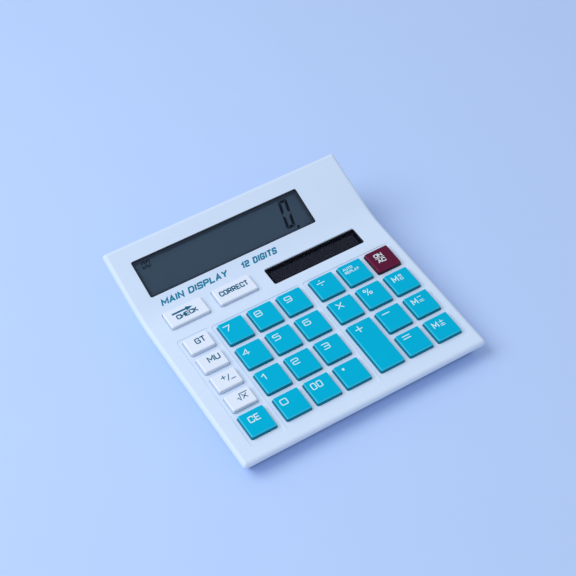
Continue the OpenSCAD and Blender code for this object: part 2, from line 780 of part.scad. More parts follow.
module solar_window() {
    color([0.12, 0.14, 0.20, 0.7]) on_deck() translate([solar_x, solar_y, 0])
        plate(solar_w - fit, solar_d - fit, lens_r - fit / 2, -lens_sink - lens_t, -lens_sink);
}

module solar_cell() {
    color([0.10, 0.10, 0.16]) on_deck() translate([solar_x, solar_y, 0])
        plate(solar_w + 2 * cell_over, solar_d + 2 * cell_over, panel_r, -plate_t - cell_t, -plate_t);
}

// ---- Keys, mat and main board ----

// Half of a key's front or side view, up its sloping side to the bevel, and the whole view
function key_side(a) = [[a / 2, flange_z], [a / 2, 0], [a / 2 - key_taper, key_rise - key_bevel],
                        [a / 2 - key_taper - key_bevel, key_rise]];
function key_view(a) = concat(key_side(a),
    [for (i = [len(key_side(a)) - 1 : -1 : 0]) [-key_side(a)[i][0], key_side(a)[i][1]]]);

// A cap with its middle at the origin: sloping sides, a flange under the plate and a hollow below
module key_cap(w, d) {
    inset = 2 * (key_skin + key_taper);
    spread = 2 * (key_clear + key_flange);
    difference() {
        union() {
            intersection() {
                plate(w, d, key_corner, flange_z, key_rise);
                rotate([90, 0, 0]) translate([0, 0, -d / 2 - cut]) linear_extrude(d + 2 * cut)
                    polygon(key_view(w));
                rotate([90, 0, 90]) translate([0, 0, -w / 2 - cut]) linear_extrude(w + 2 * cut)
                    polygon(key_view(d));
            }
            plate(w + spread, d + spread, key_corner, flange_z, -plate_t);
        }
        plate(w - inset, d - inset, key_corner / 2, flange_z - cut, key_rise - key_skin);
    }
}

module key(k) {
    color(k[5]) on_deck() {
        translate([k[1], k[2], 0]) key_cap(k[3], k[4]);
        for (p = dome_places(k)) translate([p[0], p[1], post_z])
            cylinder(d = key_post_d, h = key_rise - key_skin / 2 - post_z);
    }
}

module keypad_mat() {
    side = case_w / 2 - board_side - mat_edge;
    front = board_front + mat_edge;
    back = board_back - mat_edge;
    step_x = correct_key_x + wide_key_w / 2 + mat_step;
    step_y = post_row + post_d / 2 + mat_edge;
    color("lightgray") on_deck() {
        difference() {
            translate([0, 0, board_z]) linear_extrude(mat_t) polygon([[-side, front], [side, front],
                [side, step_y], [step_x, step_y], [step_x, back], [-side, back]]);
            for (p = BOARD_POSTS) translate([p[0], p[1], board_z - cut])
                cylinder(d = post_d + 2 * seat, h = mat_t + 2 * cut);
            for (k = KEYS, p = dome_places(k)) translate([p[0], p[1], board_z - cut])
                cylinder(d = dome_d - 2 * dome_skin, h = mat_t + cut);
        }
        for (k = KEYS, p = dome_places(k)) translate([p[0], p[1], mat_z]) difference() {
            cylinder(d1 = dome_d, d2 = key_post_d, h = dome_h);
            cylinder(d1 = dome_d - 2 * dome_skin, d2 = key_post_d - 2 * dome_skin,
                     h = dome_h - dome_skin);
        }
    }
}

module main_board() {
    w = case_w - 2 * board_side;
    color("darkgreen") on_deck() difference() {
        translate([-w / 2, board_front, board_under]) cube([w, board_back - board_front, board_t]);
        for (p = BOARD_POSTS) screw_hole(p, board_under);
    }
}

module board_screws() {
    color("silver") on_deck() for (p = BOARD_POSTS) board_screw(p, board_under);
}

module chip_cover() {
    color([0.10, 0.10, 0.10]) on_deck() translate([col_x(2), row_y(0), board_under - chip_h])
        cylinder(d1 = chip_d * 0.7, d2 = chip_d, h = chip_h);
}

module capacitor() {
    color("steelblue") on_deck() translate([col_x(5), row_y(0), board_under - capacitor_h])
        cylinder(d = capacitor_d, h = capacitor_h);
}

// Side view of the ribbon in the deck frame, from under the main board to under the display board
module ribbon_cable() {
    path = [[board_back - ribbon_grip, board_under], [board_back + 1, board_under],
            display_to_deck([lens_front - panel_over - 1, display_board_under]),
            display_to_deck([lens_front + ribbon_grip, display_board_under])];
    color("gold") on_deck() rotate([90, 0, 90]) translate([0, 0, lens_x - ribbon_w / 2])
        linear_extrude(ribbon_w)
            polygon(concat(path, [for (i = [len(path) - 1 : -1 : 0]) path[i] - [0, ribbon_t]]));
}

// ---- Leads, battery and door ----

module solar_leads() {
    color("firebrick") on_deck() for (i = [0, 1])
        translate([solar_x + solar_w / 2 - lead_edge - lead_step * i, solar_y, 0])
            lead([[0, 0, board_z], [0, 0, -plate_t - cell_t]]);
}

// From the solder tabs forwards, then up to the underside of the main board
module battery_leads() {
    x = bay_l / 2 - contact_t / 2;
    tab_end = bay_front - bay_wall - tab_reach;
    pad = to_row([board_back - ribbon_grip - 2 * lead_d, board_under]);
    color("firebrick") for (s = [-x, x])
        lead([[s, tab_end - slip, tab_z + tab_h / 2], [s, pad[0], tab_z], [s, pad[0], pad[1] - slip]]);
}

module battery_cell() {
    x0 = bay_l / 2 - contact_t - nub_l - cell_l;
    color("goldenrod") translate([x0, bay_y, cell_z]) rotate([0, 90, 0]) {
        cylinder(d = cell_d, h = cell_l);
        cylinder(d = nub_d, h = cell_l + nub_l);
    }
}

// A contact's plate against the bay's end at x0, with a solder tab through the front wall's slot
module contact_blade(x0) {
    tab_end = bay_front - bay_wall - tab_reach;
    translate([x0, bay_y - contact_w / 2, bay_floor + fit])
        cube([contact_t, contact_w, bay_roof - bay_floor - 2 * fit]);
    translate([x0, tab_end, tab_z]) cube([contact_t, bay_y - tab_end, tab_h]);
}

module battery_plate() { color("silver") contact_blade(bay_l / 2 - contact_t); }

// The spring side: the blade and a leaf bent towards the cell
module battery_spring() {
    leaf_w = contact_w - 2;
    // the upper end starts inside the blade and the lower end hangs free, a little away from it
    outer = [[contact_t - slip, leaf_bow], [spring_reach, leaf_tip], [spring_reach, -leaf_tip],
             [contact_t + fit, -leaf_bow]];
    color("silver") {
        contact_blade(-bay_l / 2);
        translate([-bay_l / 2, bay_y + leaf_w / 2, cell_z]) rotate([90, 0, 0]) linear_extrude(leaf_w)
            polygon([outer[0], outer[1], outer[2], outer[3], outer[3] + [0, 2 * contact_t],
                     [spring_reach - contact_t, -leaf_tip / 2], [spring_reach - contact_t, leaf_tip / 2],
                     outer[0] - [0, 2 * contact_t]]);
    }
}

module battery_door() {
    color(case_colour) difference() {
        intersection() {
            base_block(0, base_z, foot_h);
            union() {
                translate([-door_w / 2 + door_gap, door_y + door_gap, foot_h])
                    cube([door_w - 2 * door_gap, below, door_t]);
                translate([-door_w / 2 - tongue_w, door_y + door_gap, tongue_z])
                    cube([door_w + 2 * tongue_w, below, tongue_t]);
            }
        }
        for (i = [0 : 3]) translate([-groove_l / 2, groove_y - i * groove_step, foot_h - cut])
            cube([groove_l, groove_step / 2, cut + groove_d]);
    }
}

// ---- Everything ----

top_case();
bottom_case();
display_window();
display_panel();
display_holder();
contact_strip();
display_board();
display_screws();
solar_window();
solar_cell();
keypad_mat();
main_board();
board_screws();
chip_cover();
capacitor();
ribbon_cable();
solar_leads();
battery_leads();
battery_cell();
battery_spring();
battery_plate();
battery_door();
case_screws();
rubber_feet();
for (k = KEYS) key(k);
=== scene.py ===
import json
import math

import bmesh
import bpy
from mathutils import Matrix, Quaternion, Vector

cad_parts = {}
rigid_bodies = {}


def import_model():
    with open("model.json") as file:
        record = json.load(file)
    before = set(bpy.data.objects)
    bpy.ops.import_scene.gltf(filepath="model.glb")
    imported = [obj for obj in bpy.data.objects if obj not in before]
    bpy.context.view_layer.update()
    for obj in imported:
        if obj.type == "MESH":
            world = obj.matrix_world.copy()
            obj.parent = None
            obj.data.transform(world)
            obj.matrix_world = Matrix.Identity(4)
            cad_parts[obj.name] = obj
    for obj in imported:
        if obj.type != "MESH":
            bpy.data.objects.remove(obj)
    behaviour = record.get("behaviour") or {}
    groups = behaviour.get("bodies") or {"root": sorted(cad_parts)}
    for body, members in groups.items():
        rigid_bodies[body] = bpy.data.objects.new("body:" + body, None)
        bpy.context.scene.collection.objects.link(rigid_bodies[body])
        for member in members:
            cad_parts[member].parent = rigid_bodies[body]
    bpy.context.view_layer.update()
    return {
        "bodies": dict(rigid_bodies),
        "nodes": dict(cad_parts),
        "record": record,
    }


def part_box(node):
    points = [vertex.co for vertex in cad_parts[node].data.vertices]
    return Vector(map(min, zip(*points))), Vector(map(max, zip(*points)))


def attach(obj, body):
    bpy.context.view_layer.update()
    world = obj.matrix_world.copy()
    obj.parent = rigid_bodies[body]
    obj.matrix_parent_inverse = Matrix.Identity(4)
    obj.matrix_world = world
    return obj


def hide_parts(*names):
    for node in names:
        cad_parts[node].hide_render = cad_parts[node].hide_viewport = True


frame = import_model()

MM = 0.001

# ---- Sizes of the case and its keys, in millimetres and degrees ----

CASE_W = 146.6
FRONT_Y = -73.8          # front edge, in the deck frame
BEND_Y = 30.6            # where the display section starts, in the deck frame
DISPLAY_RUN = 44.3       # from there to the back edge
DECK_TILT = 5.0
DISPLAY_TILT = 17.5
BEND_R = 60.0
EDGE_H = 3.3
RIM_R = 2.4
UNDER_R = 0.8
PLATE_T = 2.0
RIM_WALL = 2.6
FRONT_CORNER_R = 2.0
BACK_CORNER_R = 2.0
FRONT_H = 11.0           # height of the deck at the front edge
WELL_DEPTH = 0.3
WELL_R = 1.6
WELL_MARGIN = 2.0
WELL_FRONT = 3.6         # from the last row of keys to the front edge of a well
LIP_R = 0.25             # soft edge of every well and recess
HOLE_CLEAR = 0.15        # round a key in its hole
KEY_RISE = 2.1
KEY_TAPER = 0.35
KEY_BEVEL = 0.6
KEY_HIGHLIGHT_SPAN = (KEY_RISE - 0.2, KEY_RISE - 0.02)                 # heights where the painted highlight round the edge of the top turns into the top
KEY_SHADE = (KEY_RISE - KEY_BEVEL - 0.35, KEY_RISE - 0.4)   # and where the painted shade of the sides turns into it
KEY_CORNER = 1.1
KEY_SKIN = 1.1
KEY_FLANGE = 0.5         # how far the flange reaches past the key
FLANGE_T = 0.8
POST_D = 4.2
POST_H = 0.6
TWO_POSTS_FROM = 20.0    # a key longer than this stands on two posts
LENS_SINK = 0.5
LENS_T = 1.0
LENS_LEDGE = 1.2
LENS_R = 1.0
LENS_SOFT = 0.15         # rounding of a lens's upper edge
LENS_FIT = 0.1           # between a lens and the wall of its recess
GASKET_TOP = -0.06       # where the dark seal round a lens ends, below the surface
MASK_W = 1.5             # width of the dark border printed under a lens
PRINT_T = 0.03           # thickness of printed ink
CUT_TOP = 2.0            # how far a cutter stands above the surface
CUT_FOOT = -PLATE_T - 1  # where a cutter that goes right through ends
SHARP_ANGLE = 32.0       # edges sharper than this stay sharp
BEND_STEPS = 24
ARC_STEPS = 8
CORNER_STEPS = 8
LETTER_STEPS = 4         # round each corner of a letter

# ---- Frames ----

tilt = math.radians(DECK_TILT)
bend = math.radians(DISPLAY_TILT)
bend_start = BEND_Y - BEND_R * math.tan(bend / 2)
bend_run = BEND_R * bend
flat_back = bend_start + bend_run + DISPLAY_RUN - BEND_R * math.tan(bend / 2)
case_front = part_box("top_case")[0].y / MM
front_reach = (FRONT_Y + RIM_R) * math.cos(tilt) + RIM_R * math.sin(tilt) - RIM_R
deck_origin = Vector((0, case_front - front_reach, FRONT_H - FRONT_Y * math.sin(tilt)))
METRES = Matrix.Scale(MM, 4)
DECK = METRES @ Matrix.Translation(deck_origin) @ Matrix.Rotation(tilt, 4, "X")
DISPLAY = DECK @ Matrix.Translation((0, BEND_Y, 0)) @ Matrix.Rotation(bend, 4, "X")


def on_case(x, s, h):
    """A point x across, s along the bent upper surface and h above it, in the deck frame."""
    turn = min(max((s - bend_start) / BEND_R, 0.0), bend)
    past = s - bend_start - BEND_R * turn
    y = bend_start + (BEND_R - h) * math.sin(turn) + past * math.cos(turn)
    z = BEND_R - (BEND_R - h) * math.cos(turn) + past * math.sin(turn)
    return Vector((x, y, z))


def node_box(node, place):
    """Lowest and highest corner of a CAD node, in the frame of a place."""
    inverse = place.inverted()
    points = [inverse @ v.co for v in frame["nodes"][node].data.vertices]
    low = Vector(min(p[i] for p in points) for i in range(3))
    high = Vector(max(p[i] for p in points) for i in range(3))
    return low, high


# ---- Materials ----

class Socket:
    """The output of a shader node. Arithmetic on it adds Math nodes."""

    def __init__(self, paint, link):
        self.paint = paint
        self.link = link

    def math(self, operation, *values):
        return self.paint.node("ShaderNodeMath", {"operation": operation}, dict(enumerate(values)))

    def __add__(self, other):
        return self.math("ADD", self, other)

    def __sub__(self, other):
        return self.math("SUBTRACT", self, other)

    def __rsub__(self, other):
        return self.math("SUBTRACT", other, self)

    def __mul__(self, other):
        return self.math("MULTIPLY", self, other)

    def __truediv__(self, other):
        return self.math("DIVIDE", self, other)

    __radd__ = __add__
    __rmul__ = __mul__


class Paint:
    """One material, with its Principled shader and the nodes that feed it."""

    def __init__(self, name, **values):
        self.material = bpy.data.materials.new(name)
        self.material.use_nodes = True
        self.nodes = self.material.node_tree.nodes
        self.links = self.material.node_tree.links
        self.shader = self.nodes["Principled BSDF"]
        self.place = self.node("ShaderNodeTexCoord", output="Object")
        self.set(**values)

    def node(self, kind, settings=None, inputs=None, output=0):
        """Adds a node, sets it up and gives one of its outputs."""
        made = self.nodes.new(kind)
        for key, value in (settings or {}).items():
            setattr(made, key, value)
        for key, value in (inputs or {}).items():
            self.feed(made.inputs[key], value)
        return Socket(self, made.outputs[output])

    def feed(self, target, value):
        if isinstance(value, Socket):
            self.links.new(value.link, target)
        else:
            target.default_value = value

    def set(self, **values):
        """Feeds the shader's inputs, named with underscores for spaces."""
        for key, value in values.items():
            self.feed(self.shader.inputs[key.replace("_", " ")], value)

    def noise(self, size, detail=2.0, roughness=0.5):
        """Soft noise with features of the given size in millimetres."""
        scale = 1 / (size * MM)
        inputs = {"Vector": self.place, "Scale": scale, "Detail": detail, "Roughness": roughness}
        return self.node("ShaderNodeTexNoise", inputs=inputs)

    def mix(self, low, high, factor):
        """A colour between two others."""
        inputs = {"Factor": factor, 6: low, 7: high}
        return self.node("ShaderNodeMix", {"data_type": "RGBA"}, inputs, 2)

    def span(self, value, low, high, start=0.0, end=1.0):
        """The value rescaled from one range to another and kept inside it."""
        inputs = {"Value": value, 1: low, 2: high, 3: start, 4: end}
        return self.node("ShaderNodeMapRange", inputs=inputs)

    def axis(self, name):
        """One coordinate of the piece, in millimetres."""
        return self.node("ShaderNodeSeparateXYZ", inputs={"Vector": self.place}, output=name) / MM

    def deck_height(self):
        """Height above the keyboard surface, in millimetres."""
        rise = (self.axis("Z") - deck_origin.z) * math.cos(tilt)
        return rise - (self.axis("Y") - deck_origin.y) * math.sin(tilt)

    def bump(self, height, depth):
        """A relief of the given depth in millimetres."""
        inputs = {"Height": height, "Distance": depth * MM, "Strength": 1.0}
        self.set(Normal=self.node("ShaderNodeBump", inputs=inputs))


def colour(red, green, blue):
    """A screen colour, 0 to 255, as the shader wants it."""
    def linear(value):
        value /= 255
        return value / 12.92 if value <= 0.04045 else ((value + 0.055) / 1.055) ** 2.4
    return linear(red), linear(green), linear(blue), 1.0


def scaled(tone, factor):
    return tuple(min(channel * factor, 1.0) for channel in tone[:3]) + (1.0,)


def moulded(name, tone, roughness, grain=0.22, depth=0.012, edge=None, **values):
    """Moulded plastic: an eroded grain, faint flow clouds and uneven gloss. A key's plastic gets a painted
    highlight round the edge of its top and painted shade on its sides, darker downwards."""
    paint = Paint(name, **values)
    clouds = paint.noise(14, 3, 0.6)
    fine = paint.noise(grain, 2, 0.6)
    specks = paint.span(paint.noise(0.9, 4, 0.7), 0.35, 0.7)
    shade = clouds * 0.6 + specks * 0.4
    surface = paint.mix(scaled(tone, 0.965), scaled(tone, 1.03), shade)
    if edge:
        # Painted light on a key: painted shade darkens its sides downwards, and a painted highlight lightens
        # the edge round its top
        height = paint.deck_height()
        shade_tone, highlight_tone = edge
        top_with_highlight = paint.mix(highlight_tone, surface, paint.span(height, *KEY_HIGHLIGHT_SPAN))
        surface = paint.mix(shade_tone, top_with_highlight, paint.span(height, *KEY_SHADE))
    paint.set(Base_Color=surface)
    paint.set(Roughness=paint.span(clouds * 0.5 + fine * 0.5, 0.3, 0.7, roughness - 0.05, roughness + 0.07))
    paint.bump(fine + paint.noise(grain * 3, 2) * 0.6, depth)
    return paint.material


def key_plastic(name, tone, edge, gloss):
    return moulded(name, tone, 0.36, grain=0.16, depth=0.006, edge=edge, Specular_IOR_Level=gloss)


def ink(name, tone, roughness=0.5, gloss=0.2):
    """Pad-printed ink, a little uneven in cover and gloss."""
    paint = Paint(name, Specular_IOR_Level=gloss)
    cover = paint.noise(0.35, 3, 0.6)
    paint.set(Base_Color=paint.mix(scaled(tone, 0.9), scaled(tone, 1.06), cover))
    paint.set(Roughness=paint.span(cover, 0.3, 0.7, roughness - 0.08, roughness + 0.1))
    paint.bump(cover, 0.004)
    return paint.material


def clear(name, tone, alpha):
    """A clear moulded lens with faint polishing haze."""
    paint = Paint(name, Specular_IOR_Level=0.12)
    haze = paint.noise(16, 3, 0.5)
    paint.set(Base_Color=paint.mix(scaled(tone, 0.9), scaled(tone, 1.1), haze))
    paint.set(Roughness=paint.span(haze, 0.3, 0.7, 0.24, 0.32))
    paint.set(Alpha=paint.span(haze, 0.3, 0.7, alpha - 0.01, alpha + 0.01))
    return paint.material


def liquid_crystal(name, tone):
    """The polariser over a reflective film: an even slate tone that drifts a little over the panel."""
    paint = Paint(name, Specular_IOR_Level=0.1)
    cloud = paint.noise(30, 2)
    film = paint.noise(3, 2)
    paint.set(Base_Color=paint.mix(scaled(tone, 0.95), scaled(tone, 1.05), cloud * 0.8 + film * 0.2))
    paint.set(Roughness=paint.span(film, 0.2, 0.8, 0.5, 0.6))
    return paint.material


def solar_film(name, tone, line_tone, pitch, line):
    """Amorphous silicon: near black with thin scribed lines between its cells."""
    paint = Paint(name, Coat_Weight=0.1, Coat_Roughness=0.1, Specular_IOR_Level=0.2)
    across = paint.axis("X") / pitch
    groove = paint.node("ShaderNodeMath", {"operation": "PINGPONG"}, {0: across, 1: 0.5})
    scribe = paint.span(groove, 0.0, line / pitch, 1.0, 0.0)
    cloud = paint.noise(8, 4, 0.6)
    body = paint.mix(scaled(tone, 0.8), scaled(tone, 1.25), cloud)
    paint.set(Base_Color=paint.mix(body, line_tone, scribe * 0.5))
    paint.set(Roughness=paint.span(cloud, 0.3, 0.7, 0.22, 0.34))
    paint.bump(scribe, 0.01)
    return paint.material


def laminate(name, tone, mask_tone):
    """A circuit board: solder mask with the weave of its glass cloth showing through."""
    paint = Paint(name, Coat_Weight=0.3)
    warp = paint.node("ShaderNodeMath", {"operation": "SINE"}, {0: paint.axis("X") * 12})
    weft = paint.node("ShaderNodeMath", {"operation": "SINE"}, {0: paint.axis("Y") * 12})
    weave = paint.span(warp * weft, -1.0, 1.0)
    traces = paint.span(paint.noise(4, 1), 0.48, 0.5)
    green = paint.mix(tone, mask_tone, traces)
    paint.set(Base_Color=paint.mix(green, scaled(tone, 1.3), weave * 0.3))
    paint.set(Roughness=paint.span(weave, 0.0, 1.0, 0.35, 0.5))
    paint.bump(weave + traces * 2, 0.01)
    return paint.material


def metal(name, tone, roughness):
    """Plated sheet or wire with drawn marks."""
    paint = Paint(name, Metallic=1.0)
    marks = paint.noise(0.15, 4, 0.7)
    tarnish = paint.noise(5, 3, 0.6)
    paint.set(Base_Color=paint.mix(scaled(tone, 0.8), scaled(tone, 1.1), tarnish))
    dullness = marks * 0.5 + tarnish * 0.5
    paint.set(Roughness=paint.span(dullness, 0.3, 0.7, roughness - 0.08, roughness + 0.12))
    paint.bump(marks, 0.006)
    return paint.material


def rubber(name, tone, roughness=0.75, bloom=1.25):
    """Moulded rubber with a dusty bloom."""
    paint = Paint(name, Sheen_Weight=0.2)
    bloom_noise = paint.noise(3, 5, 0.65)
    pores = paint.node("ShaderNodeTexVoronoi", inputs={"Vector": paint.place, "Scale": 1 / (0.4 * MM)})
    paint.set(Base_Color=paint.mix(tone, scaled(tone, bloom), bloom_noise))
    paint.set(Roughness=paint.span(bloom_noise, 0.3, 0.7, roughness - 0.08, roughness + 0.1))
    paint.bump(pores, 0.015)
    return paint.material


def striped(name, tone, line_tone, axis, pitch, share, roughness=0.4):
    """Film or a sleeve with evenly spaced printed lines."""
    paint = Paint(name)
    step = paint.node("ShaderNodeMath", {"operation": "FRACT"}, {0: paint.axis(axis) / pitch})
    line = paint.span(step, share, share + 0.06)
    wear = paint.noise(0.8, 3, 0.6)
    paint.set(Base_Color=paint.mix(paint.mix(line_tone, tone, line), scaled(tone, 0.85), wear * 0.3))
    paint.set(Roughness=paint.span(wear, 0.3, 0.7, roughness - 0.06, roughness + 0.08))
    paint.bump(line, 0.01)
    return paint.material


CASE_WHITE = colour(214, 230, 252)
KEY_TEAL = colour(0, 178, 216)
KEY_WHITE = colour(227, 236, 252)
KEY_MAROON = colour(92, 12, 52)
# Painted light for each key colour: a darker tone painted as shade on its sides and a lighter one painted as
# a highlight round its top
TEAL_SHADE_AND_HIGHLIGHT = (colour(0, 128, 156), colour(70, 208, 236))          # painted shade of the sides, painted highlight round the top's edge
WHITE_SHADE_AND_HIGHLIGHT = (colour(204, 216, 236), colour(240, 245, 253))
MAROON_SHADE_AND_HIGHLIGHT = (colour(64, 8, 38), colour(128, 34, 76))
PRINT_TEAL = colour(0, 126, 162)
PRINT_DARK = colour(0, 100, 132)
PRINT_WHITE = colour(226, 246, 252)
LCD_SLATE = colour(60, 78, 96)
LCD_BORDER = colour(44, 58, 76)
LCD_DARK = colour(7, 10, 18)

FINISHES = {
    "case_plastic": moulded("case_plastic", CASE_WHITE, 0.4, Specular_IOR_Level=0.3),
    "key_teal": key_plastic("key_teal", KEY_TEAL, TEAL_SHADE_AND_HIGHLIGHT, 0.04),
    "key_white": key_plastic("key_white", KEY_WHITE, WHITE_SHADE_AND_HIGHLIGHT, 0.3),
    "key_maroon": key_plastic("key_maroon", KEY_MAROON, MAROON_SHADE_AND_HIGHLIGHT, 0.15),
    "display_lens": clear("display_lens", colour(70, 84, 104), 0.05),
    "solar_lens": clear("solar_lens", colour(30, 34, 50), 0.1),
    "lcd_glass": liquid_crystal("lcd_glass", LCD_SLATE),
    "holder_plastic": moulded("holder_plastic", colour(44, 46, 52), 0.5, grain=0.3, depth=0.02),
    "contact_rubber": striped("contact_rubber", colour(196, 192, 186), colour(30, 30, 32),
                              "X", 0.4, 0.5, 0.7),
    "board_laminate": laminate("board_laminate", colour(28, 84, 50), colour(48, 118, 66)),
    "screw_steel": metal("screw_steel", colour(176, 178, 182), 0.32),
    "solar_glass": solar_film("solar_glass", colour(20, 24, 38), colour(52, 54, 66), 9.6, 0.18),
    "mat_rubber": rubber("mat_rubber", colour(196, 198, 202), 0.7, 1.1),
    "epoxy": moulded("epoxy", colour(22, 22, 24), 0.26, grain=1.2, depth=0.05),
    "capacitor_sleeve": striped("capacitor_sleeve", colour(24, 34, 84), colour(190, 194, 204),
                                "X", 2.6, 0.22),
    "ribbon_film": striped("ribbon_film", colour(206, 192, 150), colour(120, 108, 84), "X", 1.0, 0.4),
    "lead_insulation": rubber("lead_insulation", colour(176, 34, 30), 0.45, 1.3),
    "cell_jacket": striped("cell_jacket", colour(72, 96, 118), colour(196, 200, 204), "X", 22, 0.3, 0.3),
    "contact_metal": metal("contact_metal", colour(196, 194, 186), 0.26),
    "foot_rubber": rubber("foot_rubber", colour(34, 35, 38)),
    "seal": rubber("seal_rubber", colour(16, 19, 28), 0.6, 1.2),
}
INKS = {
    "white": ink("white_ink", PRINT_WHITE),
    "dark": ink("dark_teal_ink", PRINT_DARK),
    "teal": ink("teal_ink", PRINT_TEAL),
    "segment": ink("segment_dark", LCD_DARK, 0.6, 0.02),
    "slate": ink("border_slate", LCD_BORDER, 0.4),
}


# ---- Mesh building, in millimetres ----

def rounded_outline(low, high, radii, inset=0.0):
    """A rectangle with rounded corners, moved in by inset. Radii go round from the front left."""
    corners = [(low[0], low[1], 180), (high[0], low[1], 270), (high[0], high[1], 0), (low[0], high[1], 90)]
    points = []
    for (x, y, start), radius in zip(corners, radii):
        away_x = 1 if x == low[0] else -1
        away_y = 1 if y == low[1] else -1
        cx = x + away_x * max(radius, inset)
        cy = y + away_y * max(radius, inset)
        for step in range(CORNER_STEPS + 1):
            angle = math.radians(start + 90 * step / CORNER_STEPS)
            reach = max(radius - inset, 0.001)
            points.append((cx + reach * math.cos(angle), cy + reach * math.sin(angle)))
    return points


class Shape:
    """Points and faces gathered before they become one mesh."""

    def __init__(self):
        self.points = []
        self.faces = []

    def ring(self, outline, h):
        start = len(self.points)
        self.points += [(x, y, h) for x, y in outline]
        return list(range(start, len(self.points)))

    def walls(self, rings):
        """Faces between each ring and the next."""
        for a, b in zip(rings, rings[1:]):
            for i in range(len(a)):
                j = (i + 1) % len(a)
                self.faces.append((a[i], a[j], b[j], b[i]))

    def stack(self, outline, levels):
        """A closed solid through the levels (inset, height), in order from its first cap to its last."""
        rings = [self.ring(outline(inset), h) for inset, h in levels]
        self.walls(rings)
        self.faces.append(tuple(reversed(rings[0])))
        self.faces.append(tuple(rings[-1]))
        return self

    def box(self, low, high, radius, levels):
        """A rounded block."""
        return self.stack(lambda inset: rounded_outline(low, high, [radius] * 4, inset), levels)

    def strip(self, points, weight):
        """A flat line of the given weight along the points, closed if it ends where it starts."""
        closed = points[0] == points[-1]
        line = [Vector(p) for p in (points[:-1] if closed else points)]
        count = len(line)
        start = len(self.points)
        for i, point in enumerate(line):
            before = line[i - 1] if closed or i > 0 else None
            after = line[(i + 1) % count] if closed or i < count - 1 else None
            into = (point - before).normalized() if before is not None else None
            out = (after - point).normalized() if after is not None else into
            into = into or out
            across = Vector((-(into + out).y, (into + out).x)).normalized()
            reach = weight / 2 / max(across.dot(Vector((-into.y, into.x))), 0.45)
            end = Vector((0, 0))
            if before is None or after is None:
                end = (out if after is not None else into) * (weight / 4) * (-1 if before is None else 1)
            for side in (1, -1):
                spot = point + across * reach * side + end
                self.points.append((spot.x, spot.y, 0.0))
        for i in range(count if closed else count - 1):
            a = start + 2 * i
            b = start + 2 * ((i + 1) % count)
            self.faces.append((a, a + 1, b + 1, b))
        return self

    def face_up(self):
        """Turns every flat face towards the reader."""
        for i, face in enumerate(self.faces):
            corners = [self.points[n] for n in face]
            area = sum(a[0] * b[1] - b[0] * a[1] for a, b in zip(corners, corners[1:] + corners[:1]))
            if area < 0:
                self.faces[i] = tuple(reversed(face))
        return self

    def hoop(self, low, high, radius, levels):
        """A closed ring round an opening, through the levels (inset, height)."""
        rings = [self.ring(rounded_outline(low, high, [radius] * 4, inset), h) for inset, h in levels]
        self.walls(rings + rings[:1])
        return self

    def polygon(self, points):
        self.faces.append(tuple(self.ring(points, 0.0)))
        return self

    def mesh(self, name, place):
        made = bpy.data.meshes.new(name)
        made.from_pydata(self.points, [], self.faces)
        made.transform(place)
        return made


def arc_levels(inset, h, radius, start, end, steps=ARC_STEPS):
    """Levels round a quarter circle about (inset, h), from one angle to another in degrees."""
    angles = [math.radians(start + (end - start) * i / steps) for i in range(steps + 1)]
    return [(inset - radius * math.cos(a), h + radius * math.sin(a)) for a in angles]


def soften(mesh):
    """Smooth shading, broken at the sharp edges."""
    bm = bmesh.new()
    bm.from_mesh(mesh)
    bmesh.ops.recalc_face_normals(bm, faces=bm.faces)
    for face in bm.faces:
        face.smooth = True
    for edge in bm.edges:
        edge.smooth = len(edge.link_faces) == 2 and edge.calc_face_angle(0) < math.radians(SHARP_ANGLE)
    bm.to_mesh(mesh)
    bm.free()


def piece(name, mesh, material, body, stands_for=(), flat_normals=True):
    """An object of the model that rides on a body."""
    obj = bpy.data.objects.new(name, mesh)
    bpy.context.scene.collection.objects.link(obj)
    mesh.materials.append(material)
    if flat_normals:
        obj.modifiers.new("flat faces first", "WEIGHTED_NORMAL").keep_sharp = True
    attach(obj, body)
    if stands_for:
        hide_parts(*stands_for)
    return obj


# ---- Top case ----

def bend_mesh(shape):
    """Folds a flat slab along the case's upper surface."""
    bm = bmesh.new()
    made = shape.mesh("flat", Matrix.Identity(4))
    bm.from_mesh(made)
    for step in range(BEND_STEPS + 1):
        spot = bend_start + bend_run * step / BEND_STEPS
        parts = bm.verts[:] + bm.edges[:] + bm.faces[:]
        bmesh.ops.bisect_plane(bm, geom=parts, plane_co=(0, spot, 0), plane_no=(0, 1, 0), dist=1e-5)
    for vertex in bm.verts:
        vertex.co = DECK @ on_case(*vertex.co)
    bmesh.ops.recalc_face_normals(bm, faces=bm.faces)
    bm.to_mesh(made)
    bm.free()
    return made


def lip(depth):
    """Levels of a cutter with a softened upper edge."""
    edge = [(-inset, h) for inset, h in arc_levels(LIP_R, -LIP_R, LIP_R, 0, 90, 4)]
    return [(0, -depth), *edge, (-LIP_R, CUT_TOP)]


def cut_all(mesh, cutters):
    """Takes each cutter in turn out of the mesh."""
    body = bpy.data.objects.new("cut", mesh)
    bpy.context.scene.collection.objects.link(body)
    spare = [body]
    for shapes in cutters:
        bm = bmesh.new()
        for shape, place in shapes:
            bm.from_mesh(shape.mesh("cutter", place))
        bmesh.ops.recalc_face_normals(bm, faces=bm.faces)
        made = bpy.data.meshes.new("cutter")
        bm.to_mesh(made)
        bm.free()
        tool = bpy.data.objects.new("cutter", made)
        bpy.context.scene.collection.objects.link(tool)
        spare.append(tool)
        change = body.modifiers.new("cut", "BOOLEAN")
        change.object = tool
        change.operation = "DIFFERENCE"
        change.solver = "EXACT"
    graph = bpy.context.evaluated_depsgraph_get()
    result = bpy.data.meshes.new_from_object(body.evaluated_get(graph))
    for obj in spare:
        bpy.data.objects.remove(obj)
    return result


